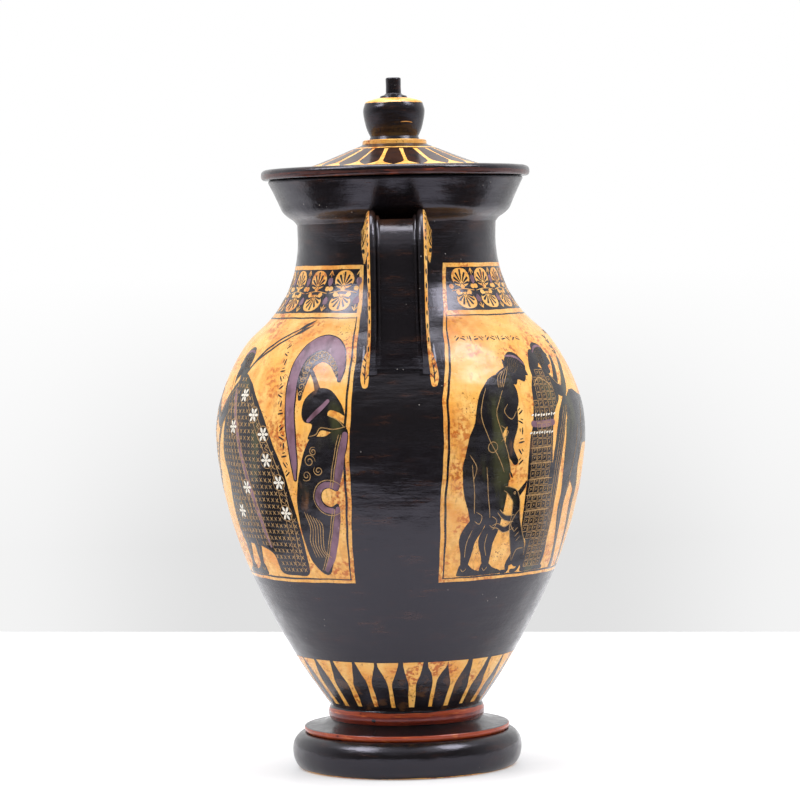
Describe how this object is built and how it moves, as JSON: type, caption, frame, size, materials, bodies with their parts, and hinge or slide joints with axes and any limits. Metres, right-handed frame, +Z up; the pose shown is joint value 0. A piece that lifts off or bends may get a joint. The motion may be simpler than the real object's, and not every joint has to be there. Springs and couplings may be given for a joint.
{
  "type": "lidded amphora",
  "caption": "Tall lidded belly amphora of painted terracotta with two flanged strap handles, a flaring mouth, a stepped foot and a loose knobbed lid.",
  "frame": {"origin": "centre of the underside of the foot, on the surface that the jar stands on", "axes": "+Z up along the jar's axis; the two handles stand at +X and -X, and the two picture panels face -Y and +Y"},
  "size_m": [0.2408, 0.2408, 0.45],
  "materials": {
    "black_slip": "gloss",
    "orange_clay": "gloss",
    "red_paint": "gloss",
    "purple_paint": "satin",
    "white_paint": "satin"
  },
  "bodies": {
    "root": {"amphora": "black_slip", "lid": "black_slip"}
  },
  "joints": []
}
